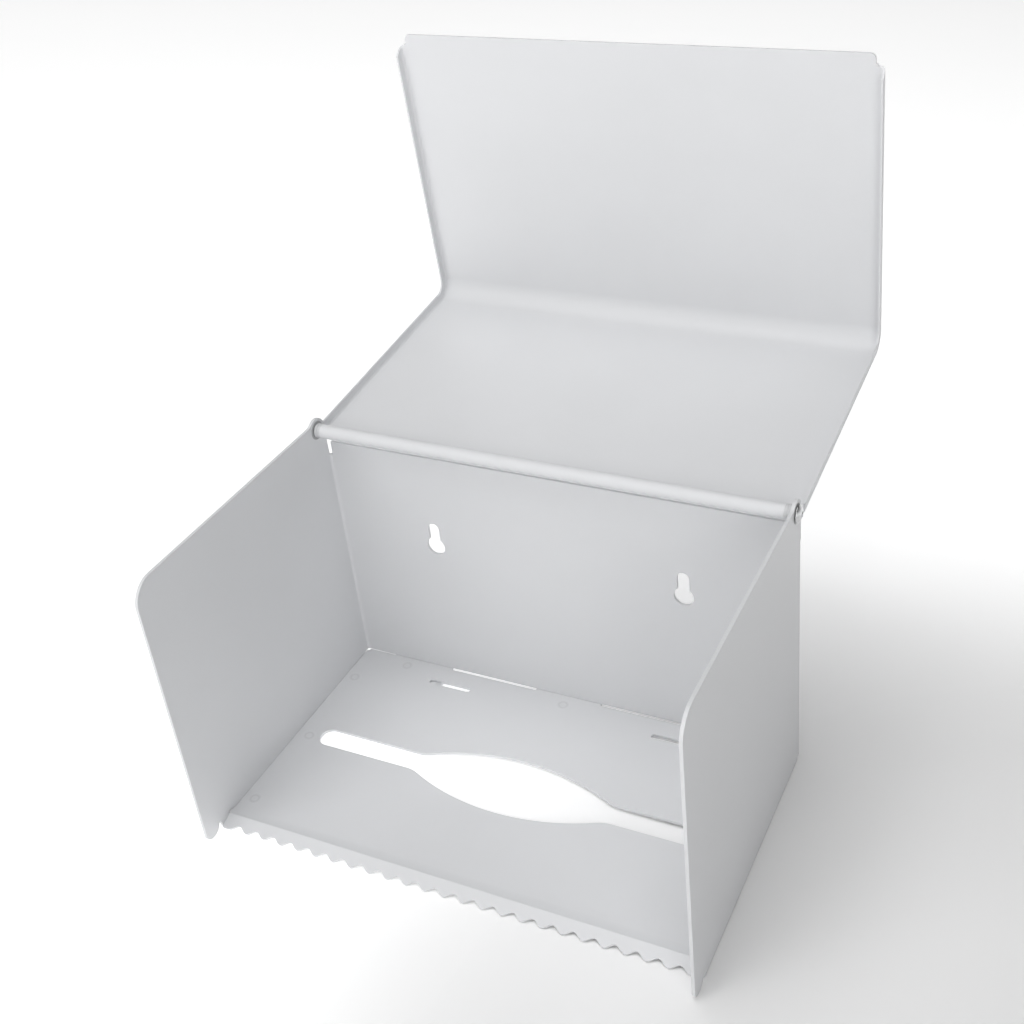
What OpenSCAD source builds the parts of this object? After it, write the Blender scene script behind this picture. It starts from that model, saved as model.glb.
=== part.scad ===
// Wall-mounted sheet-steel dispenser box: an open-fronted shell welded to a slotted floor,
// with an L-shaped lid that swings on a rod rolled into its rear edge.
// Units are millimetres. X is across, -Y is the front, +Z is up. The wall face is y = 0 and
// the origin is midway between the two keyhole heads on that face. The lid is drawn open.

/* [Box] */
// Clear width between the side panels
inner_width = 243; // [243:1:260]
// Depth from the wall face to the side panels' front edges
depth = 150; // [150:1:160]
// Height of the side panels' top edges above the floor
side_height = 148.2; // [148.2:0.1:150]
// Height of the back panel above the floor
back_height = 134; // [128:0.5:134]
// Thickness of the box's sheet steel
sheet = 1.5; // [1.5:0.1:1.6]
// Radius of the side panels' front top corners
front_corner = 12; // [8:1:16]

/* [Wall keyholes] */
// Distance between the two keyholes
keyhole_spacing = 133.4; // [100:0.2:150]
// Height of the keyhole heads above the floor
keyhole_height = 81; // [70:1:90]
// Diameter of the keyhole heads
keyhole_head = 10; // [9:0.5:12]
// Width of the keyhole slots
keyhole_slot = 6; // [5:0.5:6.5]
// Height of the top of each slot above its head's centre
keyhole_rise = 13.7; // [12:0.1:18]

/* [Floor] */
// Length of the dispensing slot
slot_length = 217; // [180:1:220]
// Width of the dispensing slot at its ends
slot_width = 11.4; // [10:0.2:13]
// Distance of the slot's centre line from the wall face
slot_back = 70.1; // [65:0.1:75]
// Width of the eye in the middle of the slot
eye_width = 35.6; // [30:0.2:38]
// Length over which the slot widens into the eye
eye_length = 102.4; // [80:0.2:110]
// Pitch of the serrated lip's teeth
tooth_pitch = 9.74; // [9.4:0.02:9.8]
// Depth of the teeth
tooth_depth = 2.6; // [1.5:0.1:3]

/* [Lid] */
// Thickness of the lid's sheet steel
lid_sheet = 1; // [0.8:0.1:1]
// Depth of the lid's side flanges
lid_flange = 4.4; // [4:0.1:4.8]
// Length of the lid's front panel
lid_front = 152.3; // [140:0.1:153]
// Angle the lid is opened to
open_angle = 174.5; // [0:0.5:174.5]

/* [Hidden] */
$fn = 96;
eps = 0.01;

half = inner_width / 2;
outer_half = half + sheet;
floor_top = -keyhole_height;
floor_under = floor_top - sheet;
base = floor_under - sheet;
bend_in = 1.5;
bend_out = bend_in + sheet;
fold_in = 0.1;
fold_out = fold_in + sheet;

// hinge axis and what runs on it
hinge_y = -8;
hinge_z = floor_top + side_height - 4;
rod_r = 2.5;
bush_bore_r = 2.55;
bush_r = 4.8;
bush_proud = 0.15;
ring = 1.5;
side_play = 0.3;
ring_outer = half - bush_proud - side_play;
roll_half = ring_outer - 2 * ring;
rod_half = outer_half + 0.4;
thread_r = 1.5;
thread_depth = 9;
head_r = 4.4;
head_h = 2.2;
dome_r = 6.2;

// lid, measured from the hinge axis when closed
panel_in = 5.2;
panel_out = panel_in + lid_sheet;
lid_half = outer_half + 0.25;
lid_outer_half = lid_half + lid_sheet;
front_in = depth + hinge_y + 2;
front_out = front_in + lid_sheet;
lid_bend = 10.4;
crease = 1.2;
crease_out = crease + lid_sheet;
notch_depth = 7.8;
neck_half = half - 2;
end_half = half - 1.5;
end_corner = 3;

// front lip of the floor
kick_start = -127;
kick_end = -133;
kick_rise = 1.5;
lip_plain = 4.4;
lip_half = half - 1;
lip_angle = 25;
teeth = 24;

// Extrudes a shape drawn in (y, z) along X, centred.
module along_x(length) {
    rotate([90, 0, 90]) linear_extrude(length, center = true) children();
}

// A shape drawn in (y, z), extruded from x = from towards +X.
module slab_x(from, thickness) {
    translate([from, 0, 0]) rotate([90, 0, 90]) linear_extrude(thickness) children();
}

// Both sides of the box.
module both_sides() {
    children();
    mirror([1, 0, 0]) children();
}

// Quarter ring with its corner at the origin, filling the first quadrant.
module quarter_ring(r_in, r_out) {
    difference() {
        intersection() {
            circle(r_out);
            square(r_out);
        }
        circle(r_in);
    }
}

// Round-ended slot along X, centred.
module round_slot(length, width) {
    square([length - width, width], center = true);
    for (end = [-1, 1]) translate([end * (length - width) / 2, 0]) circle(width / 2);
}

// ---------- body shell ----------

ear_notch = 126.5;
ear_r = 6.2;
ear_blend = 6;
flange_width = 12;
flange_front = -128;
bend_front = -138.5;
tab_back = -140.5;
tab_r = 4.5;
// back tabs: left end and width
tabs = [[-104, 35], [-18.4, 36.8], [69, 35]];

// Side panel outline in (y, z), without the bends.
module side_outline() {
    top = floor_top + side_height;
    difference() {
        union() {
            translate([-depth + front_corner, top - front_corner]) circle(front_corner);
            translate([-depth + front_corner, top - front_corner])
                square([depth - front_corner + hinge_y, front_corner]);
            translate([-depth, floor_top]) square([depth + hinge_y, side_height - front_corner]);
            translate([hinge_y, hinge_z]) hinge_ear(top - hinge_z);
            translate([hinge_y - eps, floor_top]) square([eps - hinge_y - bend_out, ear_notch + 1]);
            translate([bend_front, floor_under + fold_in])
                square([-5 - bend_front, sheet]);
            translate([-depth, base + tab_r]) square([depth + tab_back, 2 * sheet + eps]);
            translate([-depth + tab_r, base]) square([depth + tab_back - 2 * tab_r, tab_r + eps]);
            translate([-depth + tab_r, base + tab_r]) circle(tab_r);
            translate([tab_back - tab_r, base + tab_r]) circle(tab_r);
        }
        translate([tab_back, base - 1]) square([bend_front - tab_back, 2 * sheet + 2]);
        translate([hinge_y, hinge_z]) circle(bush_r);
    }
}

// Round ear about the hinge axis, blended into the top edge at height edge and run straight
// down behind to the top of the upright bend.
module hinge_ear(edge) {
    reach = sqrt(pow(ear_r + ear_blend, 2) - pow(edge + ear_blend, 2));
    share = ear_r / (ear_r + ear_blend);
    drop = hinge_z - floor_top - ear_notch;
    circle(ear_r);
    translate([-eps, -drop]) square([ear_r + eps, drop]);
    difference() {
        polygon([[-reach, 0], [0, 0], [-reach * share, (edge + ear_blend) * share],
            [-reach, edge]]);
        translate([-reach, edge + ear_blend]) circle(ear_blend);
    }
}

// Keyhole outline about the head's centre, in (x, z).
module keyhole() {
    circle(keyhole_head / 2);
    translate([-keyhole_slot / 2, 0]) square([keyhole_slot, keyhole_rise - keyhole_slot / 2]);
    translate([0, keyhole_rise - keyhole_slot / 2]) circle(keyhole_slot / 2);
}

// Back panel outline in (x, z).
module back_outline() {
    difference() {
        union() {
            translate([-half + bend_in, floor_top]) square([2 * (half - bend_in), back_height]);
            for (tab = tabs) translate([tab[0], floor_under + fold_in]) square([tab[1], 2]);
        }
        both_sides() translate([keyhole_spacing / 2, 0]) keyhole();
    }
}

module body_shell() {
    color([0.86, 0.87, 0.88]) {
        both_sides() {
            slab_x(half, sheet) side_outline();
            // upright bend between side and back
            translate([half - bend_in, -bend_out, floor_top])
                linear_extrude(ear_notch) quarter_ring(bend_in, bend_out);
            // fold under the side panel, then its inward flange
            translate([half - fold_in, -5, floor_under + fold_in])
                rotate([90, 0, 0]) linear_extrude(-5 - bend_front)
                    mirror([0, 1]) quarter_ring(fold_in, fold_out);
            translate([half - fold_in - flange_width, flange_front, base])
                cube([flange_width, -5 - flange_front, sheet]);
        }
        rotate([90, 0, 0]) linear_extrude(sheet) back_outline();
        // tabs folded forward under the floor
        for (tab = tabs) {
            translate([tab[0], -fold_out, floor_under + fold_in])
                rotate([90, 0, 90]) linear_extrude(tab[1])
                    mirror([0, 1]) quarter_ring(fold_in, fold_out);
            translate([tab[0], -17.5, base]) cube([tab[1], 17.5 - fold_out, sheet]);
        }
    }
}

// ---------- floor plate ----------

// Dispensing slot with its central eye, in (x, y) about the slot's centre.
module slot_outline() {
    h = slot_width / 2;
    rise = eye_width / 2 - h;
    r = (pow(eye_length / 2, 2) + rise * rise) / (2 * rise);
    centre = eye_width / 2 - r;
    blend = 15;
    reach = sqrt(pow(r + blend, 2) - pow(h + blend - centre, 2));
    tangent_x = reach * r / (r + blend);
    tangent_y = centre + (h + blend - centre) * r / (r + blend);
    round_slot(slot_length, slot_width);
    intersection() {
        translate([0, centre]) circle(r, $fn = 360);
        translate([0, -centre]) circle(r, $fn = 360);
        translate([-eye_length / 2, -eye_width]) square([eye_length, 2 * eye_width]);
    }
    for (turn = [0, 1], side = [0, 1]) mirror([turn, 0]) mirror([0, side]) difference() {
        polygon([[tangent_x - 6, 0], [reach, 0], [reach, h + eps], [tangent_x, tangent_y],
            [tangent_x - 6, h]]);
        translate([reach, h + blend]) circle(blend, $fn = 180);
    }
}

// What the teeth leave out, in (x, s), with s running down the lip from its bend.
module teeth_gaps() {
    n = 8;
    tip = lip_plain + tooth_depth;
    wave = [for (i = [-teeth * n / 2 : teeth * n / 2]) let (x = i * tooth_pitch / n)
        [x, tip - tooth_depth / 2 * (1 - cos(360 * x / tooth_pitch))]];
    polygon(concat([[-half, tip + 3], [-half, tip]], wave, [[half, tip], [half, tip + 3]]));
}

module floor_plate() {
    color([0.88, 0.89, 0.9]) {
        difference() {
            translate([-half + fold_in, kick_start, floor_under])
                cube([2 * (half - fold_in), -kick_start - fold_out, sheet]);
            translate([0, -slot_back, floor_under - 1]) linear_extrude(sheet + 2) slot_outline();
            // gaps along the back, between the tabs
            both_sides() translate([18.4, -fold_out - 1, floor_under - 1])
                cube([50.6, 2, sheet + 2]);
            // corners cleared for the upright bends
            both_sides() translate([half, -sheet, floor_under - 1])
                cylinder(r = bend_in + 0.3, h = sheet + 2);
            both_sides() translate([63.3, -14.5, floor_under - 1])
                linear_extrude(sheet + 2) round_slot(24, 2.8);
        }
        difference() {
            along_x(2 * (half - fold_in)) lip_section();
            both_sides() translate([lip_half, kick_end - 12, base - 12])
                cube([3, 12.2, 24]);
            translate([0, kick_end, floor_under + kick_rise]) rotate([lip_angle, 0, 0])
                rotate([0, 0, 180]) translate([0, 0, -1]) linear_extrude(sheet + 2) teeth_gaps();
        }
    }
}

// Section of the floor's front edge in (y, z): a slight rise, the bend and the uncut lip.
module lip_section() {
    polygon([[kick_start + 5, floor_under], [kick_start + 5, floor_top], [kick_start, floor_top],
        [kick_end, floor_top + kick_rise], [kick_end, floor_under + kick_rise],
        [kick_start, floor_under]]);
    translate([kick_end, floor_under + kick_rise]) {
        intersection() {
            circle(sheet);
            translate([-sheet, 0]) square(sheet);
        }
        rotate(180 + lip_angle) translate([0, -sheet])
            square([lip_plain + tooth_depth + 1, sheet]);
    }
}

// ---------- lid ----------

// Lid section in (y, z) about the hinge axis when closed: roll, web, top, bend and front.
module roll_section() {
    r_in = rod_r + 0.05;
    r_out = r_in + lid_sheet;
    difference() {
        circle(r_out);
        circle(r_in);
        polygon([[0, 0], [-10, 0], [-10, 17.32]]);
    }
    translate([-r_out, 0]) square([lid_sheet, panel_in - 1]);
    translate([-r_out - 1, panel_in - 1]) quarter_ring(1, 1 + lid_sheet);
}

module neck_section() {
    translate([-notch_depth - 1, panel_in])
        square([notch_depth - rod_r - lid_sheet - 0.05, lid_sheet]);
}

// Channel across X with flanges on the lower side: sheet from z = 0 to lid_sheet.
module channel_section() {
    translate([-lid_half + crease, 0]) square([2 * (lid_half - crease), lid_sheet]);
    both_sides() {
        translate([lid_half - crease, -crease]) quarter_ring(crease, crease_out);
        translate([lid_half, -lid_flange]) square([lid_sheet, lid_flange - crease]);
    }
}

// The channel carried round the lid's main bend, its flanges drawn round with it.
module channel_bend() {
    translate([0, -front_in + lid_bend, panel_in - lid_bend]) rotate([90, 0, -90])
        rotate_extrude(angle = 90) rotate(-90) translate([0, lid_bend]) channel_section();
}

// Free end of the front panel in (x, z), narrowed with rounded corners, above z = front_end.
module end_outline(front_end) {
    r = end_corner;
    both_sides() translate([end_half - r, front_end + r]) circle(r);
    translate([-end_half + r, front_end]) square([2 * (end_half - r), r]);
    translate([-end_half, front_end + r]) square([2 * end_half, 8]);
}

module closed_lid() {
    front_top = panel_in - lid_bend;
    front_end = panel_out - lid_front;
    along_x(2 * roll_half) roll_section();
    along_x(2 * neck_half) neck_section();
    channel_bend();
    // top panel
    translate([0, -notch_depth, panel_in]) rotate([90, 0, 0])
        linear_extrude(front_in - lid_bend - notch_depth) channel_section();
    // front panel, its flanges chamfered and stopped short of the free edge
    difference() {
        translate([0, -front_in, front_top]) rotate([180, 0, 0])
            linear_extrude(front_top - front_end - 5) channel_section();
        both_sides() slab_x(lid_half - crease - 1, lid_sheet + crease + 2)
            polygon([[-front_out - 1, front_end], [-front_in + lid_flange + 1, front_end],
                [-front_in + lid_flange + 1, front_end + 11], [-front_out - 1, front_end + 5]]);
    }
    translate([0, -front_in, 0]) rotate([90, 0, 0])
        linear_extrude(lid_sheet) end_outline(front_end);
}

module lid() {
    color([0.87, 0.88, 0.9])
        translate([0, hinge_y, hinge_z]) rotate([-open_angle, 0, 0]) closed_lid();
}

// ---------- hinge hardware, drawn for the +X side ----------

module tube_x(from, length, r_out, r_in) {
    translate([from, hinge_y, hinge_z]) rotate([0, 90, 0]) difference() {
        cylinder(r = r_out, h = length);
        translate([0, 0, -1]) cylinder(r = r_in, h = length + 2);
    }
}

module hinge_rod() {
    color([0.7, 0.71, 0.72]) translate([0, hinge_y, hinge_z]) rotate([0, 90, 0]) difference() {
        cylinder(r = rod_r, h = 2 * rod_half, center = true);
        for (end = [-1, 1]) translate([0, 0, end * rod_half])
            cylinder(r = thread_r + 0.05, h = 2 * thread_depth, center = true);
    }
}

// Plain bush pressed into the side panel, just proud of its inner face.
module bush() {
    color([0.3, 0.31, 0.32])
        tube_x(half - bush_proud, sheet + bush_proud, bush_r, bush_bore_r);
}

module spacer() {
    color([0.8, 0.81, 0.83]) tube_x(roll_half, ring, rod_r + 0.05 + lid_sheet, rod_r + 0.05);
}

module washer() {
    color([0.8, 0.81, 0.83]) tube_x(roll_half + ring, ring, 3.7, rod_r + 0.05);
}

// Button-head screw with a hexagon socket, threaded into the rod's end.
module screw() {
    color([0.75, 0.76, 0.78]) translate([rod_half, hinge_y, hinge_z]) rotate([0, 90, 0]) {
        difference() {
            intersection() {
                cylinder(r = head_r, h = head_h);
                translate([0, 0, head_h - dome_r]) sphere(dome_r);
            }
            translate([0, 0, head_h - 1.2]) cylinder(r = 1.45, h = 2, $fn = 6);
        }
        translate([0, 0, -thread_depth + 1]) cylinder(r = thread_r, h = thread_depth);
    }
}

body_shell();
floor_plate();
lid();
hinge_rod();
mirror([1, 0, 0]) bush();  // hinge_bush_left
bush();  // hinge_bush_right
mirror([1, 0, 0]) spacer();  // hinge_spacer_left
spacer();  // hinge_spacer_right
mirror([1, 0, 0]) washer();  // hinge_washer_left
washer();  // hinge_washer_right
mirror([1, 0, 0]) screw();  // hinge_screw_left
screw();  // hinge_screw_right
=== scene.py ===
import math

import bpy
from mathutils import Matrix, Vector


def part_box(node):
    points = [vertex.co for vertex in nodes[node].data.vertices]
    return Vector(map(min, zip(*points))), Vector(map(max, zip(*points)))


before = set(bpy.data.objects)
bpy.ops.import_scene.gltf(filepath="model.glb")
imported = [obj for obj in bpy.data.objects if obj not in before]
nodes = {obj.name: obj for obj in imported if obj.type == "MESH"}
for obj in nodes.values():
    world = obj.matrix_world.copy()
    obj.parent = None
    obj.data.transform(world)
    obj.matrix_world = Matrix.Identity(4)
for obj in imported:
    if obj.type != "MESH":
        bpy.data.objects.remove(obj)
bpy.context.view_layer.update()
scene = bpy.context.scene
floor_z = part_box("body_shell")[0].z


# ---------- materials ----------

class Graph:
    """Short names for building a node tree."""

    def __init__(self, name):
        self.mat = bpy.data.materials.new(name)
        self.mat.use_nodes = True
        self.tree = self.mat.node_tree
        self.tree.nodes.clear()
        self.out = self.add("ShaderNodeOutputMaterial")
        self.shader = self.add("ShaderNodeBsdfPrincipled")
        self.link(self.shader, 0, self.out, "Surface")
        self.place = self.add("ShaderNodeTexCoord")

    def add(self, kind, **settings):
        node = self.tree.nodes.new(kind)
        for key, value in settings.items():
            setattr(node, key, value)
        return node

    def link(self, a, output, b, socket):
        self.tree.links.new(a.outputs[output], b.inputs[socket])

    def noise(self, scale, detail=3.0, roughness=0.5):
        n = self.add("ShaderNodeTexNoise")
        n.inputs["Scale"].default_value = scale
        n.inputs["Detail"].default_value = detail
        n.inputs["Roughness"].default_value = roughness
        self.link(self.place, "Object", n, "Vector")
        return n

    def ramp(self, source, output, stops):
        r = self.add("ShaderNodeValToRGB")
        elements = r.color_ramp.elements
        while len(elements) < len(stops):
            elements.new(0.5)
        for element, (at, colour) in zip(elements, stops):
            element.position = at
            element.color = (*colour, 1)
        self.link(source, output, r, "Fac")
        return r

    def math(self, operation, a, b):
        """A maths node; a and b are numbers or (node, output) pairs."""
        m = self.add("ShaderNodeMath", operation=operation)
        for socket, value in ((0, a), (1, b)):
            if isinstance(value, tuple):
                self.link(value[0], value[1], m, socket)
            else:
                m.inputs[socket].default_value = value
        return m

    def bump(self, source, output, strength, distance, after=None):
        b = self.add("ShaderNodeBump")
        b.inputs["Strength"].default_value = strength
        b.inputs["Distance"].default_value = distance
        self.link(source, output, b, "Height")
        if after:
            self.link(after, "Normal", b, "Normal")
        return b


def grey(v):
    """A grey with the coat's faint blue cast."""
    return (v * 0.972, v * 0.981, v)


def even(v):
    return (v, v, v)


def powder_coat(name, level, marks=(), seed=0.0):
    """Light grey powder coat: fine orange peel, slight mottling and faint spot-weld rings; each weld
    dimple is a bump, and its ring also darkens the coat colour as painted shade.
    """
    g = Graph(name)
    shift = g.add("ShaderNodeMapping")
    shift.inputs["Location"].default_value = (seed, seed * 0.7, -seed)
    g.link(g.place, "Object", shift, "Vector")
    broad = g.noise(14, 4, 0.55)
    peel = g.noise(1500, 2, 0.5)
    grain = g.noise(5200, 1, 0.5)
    g.link(shift, "Vector", broad, "Vector")
    colour = g.ramp(broad, "Fac", [(0.3, grey(level * 0.985)), (0.7, grey(level * 1.01))])
    colour_out = (colour, "Color")
    height = g.math("ADD", (peel, "Fac"), (g.math("MULTIPLY", (grain, "Fac"), 0.35), 0))
    normal = g.bump(height, 0, 0.16, 0.0001)
    if marks:
        folded = g.add("ShaderNodeVectorMath", operation="ABSOLUTE")
        g.link(g.place, "Object", folded, 0)
        split = g.add("ShaderNodeSeparateXYZ")
        g.link(g.place, "Object", split, 0)
        wide = g.add("ShaderNodeSeparateXYZ")
        g.link(folded, 0, wide, 0)
        flat = g.add("ShaderNodeCombineXYZ")
        g.link(wide, "X", flat, "X")
        g.link(split, "Y", flat, "Y")
        near = None
        for x, y in marks:
            d = g.add("ShaderNodeVectorMath", operation="DISTANCE")
            g.link(flat, 0, d, 0)
            d.inputs[1].default_value = (x, y, 0)
            near = (d, "Value") if near is None else (g.math("MINIMUM", near, (d, "Value")), 0)
        wobble = g.math("MULTIPLY", (g.noise(600, 2), "Fac"), 0.0009)
        ring = g.math("DIVIDE", (g.math("ADD", near, (wobble, 0)), 0), 0.006)
        # weld dimple profile: it bumps the normal, and the same dark band is also used as painted
        # shade in the colour
        weld_dent_and_shade = g.ramp(ring, 0, [(0.0, even(0.80)), (0.30, even(0.86)), (0.42, even(0.30)),
                                (0.52, even(0.72)), (0.64, even(1.0)), (0.8, even(0.92))])
        weld_dent_and_shade.color_ramp.interpolation = "EASE"
        normal = g.bump(weld_dent_and_shade, "Color", 0.6, 0.00025, normal)
        # painted shade: the dimple's dark ring is multiplied into the coat colour where shade would
        # fall in the dent
        painted_weld_shade = g.add("ShaderNodeMix", data_type="RGBA", blend_type="MULTIPLY")
        painted_weld_shade.inputs[0].default_value = 0.16
        g.link(colour_out[0], colour_out[1], painted_weld_shade, "A")
        g.link(weld_dent_and_shade, "Color", painted_weld_shade, "B")
        colour_out = (painted_weld_shade, "Result")
    g.link(colour_out[0], colour_out[1], g.shader, "Base Color")
    rough = g.ramp(broad, "Fac", [(0.2, even(0.40)), (0.8, even(0.50))])
    g.link(rough, "Color", g.shader, "Roughness")
    g.link(normal, "Normal", g.shader, "Normal")
    g.shader.inputs["Specular IOR Level"].default_value = 0.45
    return g.mat


def plated_steel(name, level, rough_low, rough_high):
    """Bright zinc or drawn steel with fine turning lines about the hinge axis."""
    g = Graph(name)
    fine = g.noise(2600, 3, 0.6)
    smear = g.noise(240, 4, 0.6)
    stretch = g.add("ShaderNodeMapping")
    stretch.inputs["Scale"].default_value = (6, 0.25, 0.25)
    g.link(g.place, "Object", stretch, "Vector")
    g.link(stretch, "Vector", fine, "Vector")
    colour = g.ramp(smear, "Fac", [(0.35, (level * 0.9, level * 0.91, level * 0.93)),
                                   (0.65, (level, level * 1.005, level * 1.01))])
    g.link(colour, "Color", g.shader, "Base Color")
    rough = g.ramp(smear, "Fac", [(0.3, even(rough_low)), (0.7, even(rough_high))])
    g.link(rough, "Color", g.shader, "Roughness")
    normal = g.bump(fine, "Fac", 0.18, 0.00005)
    g.link(normal, "Normal", g.shader, "Normal")
    g.shader.inputs["Metallic"].default_value = 1.0
    return g.mat


def nylon(name, level):
    """Moulded nylon: faint flow clouding and a fine matt texture."""
    g = Graph(name)
    fine = g.noise(3200, 2, 0.5)
    cloud = g.noise(300, 3, 0.5)
    colour = g.ramp(cloud, "Fac", [(0.3, grey(level * 0.94)), (0.7, grey(level * 1.04))])
    g.link(colour, "Color", g.shader, "Base Color")
    rough = g.ramp(cloud, "Fac", [(0.3, even(0.42)), (0.7, even(0.55))])
    g.link(rough, "Color", g.shader, "Roughness")
    normal = g.bump(fine, "Fac", 0.2, 0.00005)
    g.link(normal, "Normal", g.shader, "Normal")
    return g.mat


# spot welds on the floor, as distance from the middle and depth from the wall face
welds = [(0.1159, -0.0253), (0.1143, -0.0726), (0.1154, -0.1197), (0.0933, -0.0077), (0.0, -0.0085)]
COAT = 0.72
coat_shell = powder_coat("coat_shell", COAT, seed=0.3)
coat_floor = powder_coat("coat_floor", COAT, marks=welds, seed=1.1)
coat_lid = powder_coat("coat_lid", COAT, seed=2.3)
rod_steel = plated_steel("drawn_steel", 0.62, 0.22, 0.34)
ring_nylon = nylon("white_nylon", 0.62)
screw_zinc = plated_steel("screw_zinc", 0.74, 0.20, 0.32)
bush_nylon = nylon("grey_nylon", 0.42)

FINISH = {
    "body_shell": coat_shell,
    "floor_plate": coat_floor,
    "lid": coat_lid,
    "hinge_rod": rod_steel,
    "hinge_bush_left": bush_nylon,
    "hinge_bush_right": bush_nylon,
    "hinge_spacer_left": ring_nylon,
    "hinge_spacer_right": ring_nylon,
    "hinge_washer_left": ring_nylon,
    "hinge_washer_right": ring_nylon,
    "hinge_screw_left": screw_zinc,
    "hinge_screw_right": screw_zinc,
}

# softened edge width in metres, and the width for the small hinge parts
EDGE = {"body_shell": 0.00028, "floor_plate": 0.00028, "lid": 0.00025}
SMALL_EDGE = 0.0002

for name, piece in nodes.items():
    for slot in piece.material_slots:
        slot.material = FINISH[name]
    weld = piece.modifiers.new("weld", "WELD")
    weld.merge_threshold = 1e-6
    flatten = piece.modifiers.new("flatten", "DECIMATE")
    flatten.decimate_type = "DISSOLVE"
    flatten.angle_limit = math.radians(0.5)
    bevel = piece.modifiers.new("bevel", "BEVEL")
    bevel.width = EDGE.get(name, SMALL_EDGE)
    bevel.segments = 2
    bevel.limit_method = "ANGLE"
    bevel.angle_limit = math.radians(35)
    shading = piece.modifiers.new("even", "WEIGHTED_NORMAL")
    shading.keep_sharp = True
    for face in piece.data.polygons:
        face.use_smooth = True


# ---------- stage ----------

def stage_material(name, value, rough):
    """Pale matt floor that glows a little behind the box, like a lit cyclorama."""
    g = Graph(name)
    n = g.noise(3, 3)
    colour = g.ramp(n, "Fac", [(0.3, even(value * 0.995)), (0.7, even(value))])
    g.link(colour, "Color", g.shader, "Base Color")
    g.shader.inputs["Roughness"].default_value = rough
    g.shader.inputs["Specular IOR Level"].default_value = 0.0
    g.link(g.bump(n, "Fac", 0.05, 0.001), "Normal", g.shader, "Normal")
    # distance from a point on the floor to the right of the box
    away = g.add("ShaderNodeVectorMath", operation="DISTANCE")
    g.link(g.place, "Object", away, 0)
    away.inputs[1].default_value = (0.33, -0.2, 0)
    glow = g.add("ShaderNodeMapRange", interpolation_type="SMOOTHSTEP")
    g.link(away, "Value", glow, "Value")
    for socket, number in (("From Min", 0.26), ("From Max", 0.48), ("To Min", 0.0), ("To Max", 0.55)):
        glow.inputs[socket].default_value = number
    g.shader.inputs["Emission Color"].default_value = (1, 1, 1, 1)
    g.link(glow, "Result", g.shader, "Emission Strength")
    return g.mat


bpy.ops.mesh.primitive_plane_add(size=30, location=(0, 0, floor_z))
ground = bpy.context.object
ground.name = "ground"
ground.data.materials.append(stage_material("pale_floor", 0.93, 0.9))

world = bpy.data.worlds.new("studio")
scene.world = world
world.use_nodes = True
sky_tree = world.node_tree
sky = sky_tree.nodes["Background"]
sky.inputs["Color"].default_value = (1, 1, 1, 1)
# pale at the horizon, dim overhead
facing = sky_tree.nodes.new("ShaderNodeTexCoord")
height = sky_tree.nodes.new("ShaderNodeSeparateXYZ")
fade = sky_tree.nodes.new("ShaderNodeMapRange")
fade.interpolation_type = "SMOOTHSTEP"
for socket, number in (("From Min", 0.0), ("From Max", 0.4), ("To Min", 0.62), ("To Max", 0.06)):
    fade.inputs[socket].default_value = number
sky_tree.links.new(facing.outputs["Generated"], height.inputs[0])
sky_tree.links.new(height.outputs["Z"], fade.inputs["Value"])
sky_tree.links.new(fade.outputs["Result"], sky.inputs["Strength"])


def softbox(name, where, target, size, power):
    """Rectangular area light at where, facing target; size in metres, power in watts."""
    data = bpy.data.lights.new(name, "AREA")
    data.shape = "RECTANGLE"
    data.size, data.size_y = size
    data.energy = power
    lamp = bpy.data.objects.new(name, data)
    scene.collection.objects.link(lamp)
    lamp.location = where
    lamp.rotation_euler = (Vector(target) - Vector(where)).to_track_quat("-Z", "Y").to_euler()


middle = Vector((0, -0.06, 0.0))
softbox("key_light", (-0.9, -1.5, 1.1), middle, (1.0, 1.0), 8.5)
softbox("top_light", (-0.1, -0.35, 1.7), middle, (1.4, 1.4), 17.8)
softbox("front_light", (0.1, -2.0, 0.45), middle, (1.4, 0.8), 3.6)
softbox("right_light", (1.3, -1.5, 0.9), middle, (0.9, 0.9), 8.8)
softbox("back_left", (-2.0, 1.0, 1.5), Vector((-0.5, 0.6, -0.084)), (1.4, 1.4), 7.0)

# ---------- camera ----------

camera_data = bpy.data.cameras.new("camera")
camera = bpy.data.objects.new("camera", camera_data)
scene.collection.objects.link(camera)
scene.camera = camera
# the camera's place in metres, then its heading, its angle downwards and its roll
camera_place = (0.26323, -0.49334, 0.40829)
azimuth, elevation, roll = (math.radians(a) for a in (-27.82, 31.608, -5.848))
camera_data.sensor_width = 36
camera_data.lens = 49.53
camera_data.shift_x = -0.0374
camera_data.shift_y = -0.0534
camera_data.clip_start = 0.01
camera_data.clip_end = 60

ahead = Vector((math.sin(azimuth) * math.cos(elevation), math.cos(azimuth) * math.cos(elevation),
                -math.sin(elevation)))
level = ahead.cross(Vector((0, 0, 1))).normalized()
upright = level.cross(ahead)
right = level * math.cos(roll) + upright * math.sin(roll)
up = right.cross(ahead)
turn = Matrix((right, up, -ahead)).transposed()
camera.matrix_world = Matrix.Translation(camera_place) @ turn.to_4x4()

scene.view_settings.view_transform = "Standard"
scene.view_settings.look = "None"
scene.view_settings.exposure = 0.0
